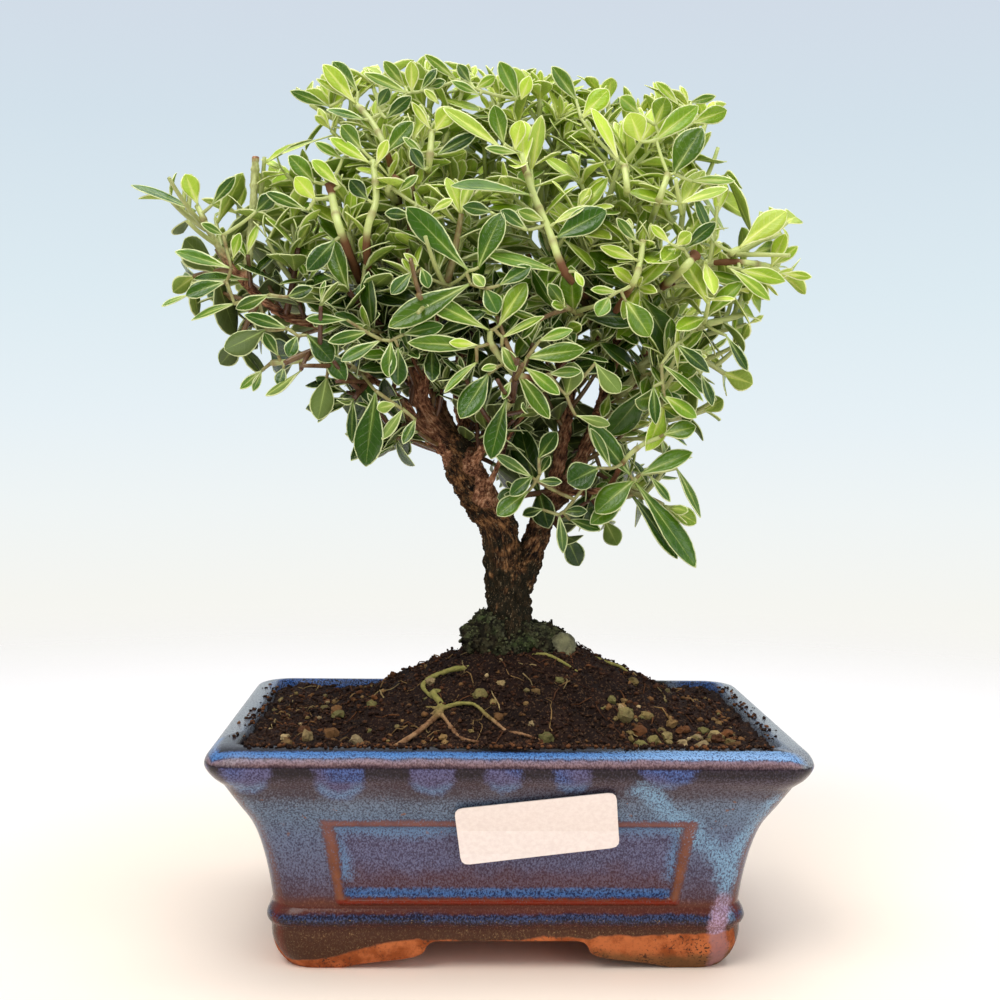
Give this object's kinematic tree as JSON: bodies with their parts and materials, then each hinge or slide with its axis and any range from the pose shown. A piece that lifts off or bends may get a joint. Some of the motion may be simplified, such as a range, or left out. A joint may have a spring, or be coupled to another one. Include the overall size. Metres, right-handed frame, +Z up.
{
  "type": "potted serissa bonsai tree",
  "caption": "Small forked bonsai tree with cream-edged leaves on leafy shoots, rooted in a soil mound in a blue glazed rectangular pot on bracket feet.",
  "frame": {"origin": "on the ground under the middle of the whole plant and pot", "axes": "+Z up, -Y the side with the label, +X to the right of it"},
  "size_m": [0.1986, 0.1288, 0.2523],
  "materials": {
    "glaze": "gloss",
    "paper": "satin",
    "screen_plastic": "matte",
    "soil": "matte",
    "moss": "matte",
    "bark": "matte",
    "young_leaf": "satin",
    "old_leaf": "satin"
  },
  "bodies": {
    "root": {"pot": "glaze", "blank_label": "paper", "drain_screen_left": "screen_plastic", "drain_screen_right": "screen_plastic", "soil": "soil", "mossy_clod": "moss", "tree_wood": "bark", "leafy_shoot_01": "young_leaf", "leafy_shoot_02": "young_leaf", "leafy_shoot_03": "old_leaf", "leafy_shoot_04": "old_leaf", "leafy_shoot_05": "old_leaf", "leafy_shoot_06": "old_leaf", "leafy_shoot_07": "old_leaf", "leafy_shoot_08": "old_leaf", "leafy_shoot_09": "young_leaf", "leafy_shoot_10": "old_leaf", "leafy_shoot_11": "young_leaf", "leafy_shoot_12": "young_leaf", "leafy_shoot_13": "young_leaf", "leafy_shoot_14": "old_leaf", "leafy_shoot_15": "young_leaf", "leafy_shoot_16": "young_leaf", "leafy_shoot_17": "young_leaf", "leafy_shoot_18": "young_leaf", "leafy_shoot_19": "young_leaf", "leafy_shoot_20": "young_leaf", "leafy_shoot_21": "young_leaf", "leafy_shoot_22": "young_leaf", "leafy_shoot_23": "young_leaf", "leafy_shoot_24": "young_leaf", "leafy_shoot_25": "young_leaf", "leafy_shoot_26": "young_leaf", "leafy_shoot_27": "old_leaf", "leafy_shoot_28": "young_leaf", "leafy_shoot_29": "old_leaf", "leafy_shoot_30": "young_leaf", "leafy_shoot_31": "old_leaf", "leafy_shoot_32": "old_leaf", "leafy_shoot_33": "old_leaf", "leafy_shoot_34": "old_leaf", "leafy_shoot_35": "old_leaf", "leafy_shoot_36": "old_leaf", "leafy_shoot_37": "old_leaf", "leafy_shoot_38": "old_leaf", "leafy_shoot_39": "old_leaf", "leafy_shoot_40": "old_leaf", "leafy_shoot_41": "young_leaf", "leafy_shoot_42": "old_leaf", "leafy_shoot_43": "young_leaf", "leafy_shoot_44": "old_leaf", "leafy_shoot_45": "old_leaf", "leafy_shoot_46": "old_leaf", "leafy_shoot_47": "old_leaf", "leafy_shoot_48": "old_leaf", "leafy_shoot_49": "young_leaf", "leafy_shoot_50": "young_leaf", "leafy_shoot_51": "old_leaf", "leafy_shoot_52": "young_leaf"}
  },
  "joints": []
}
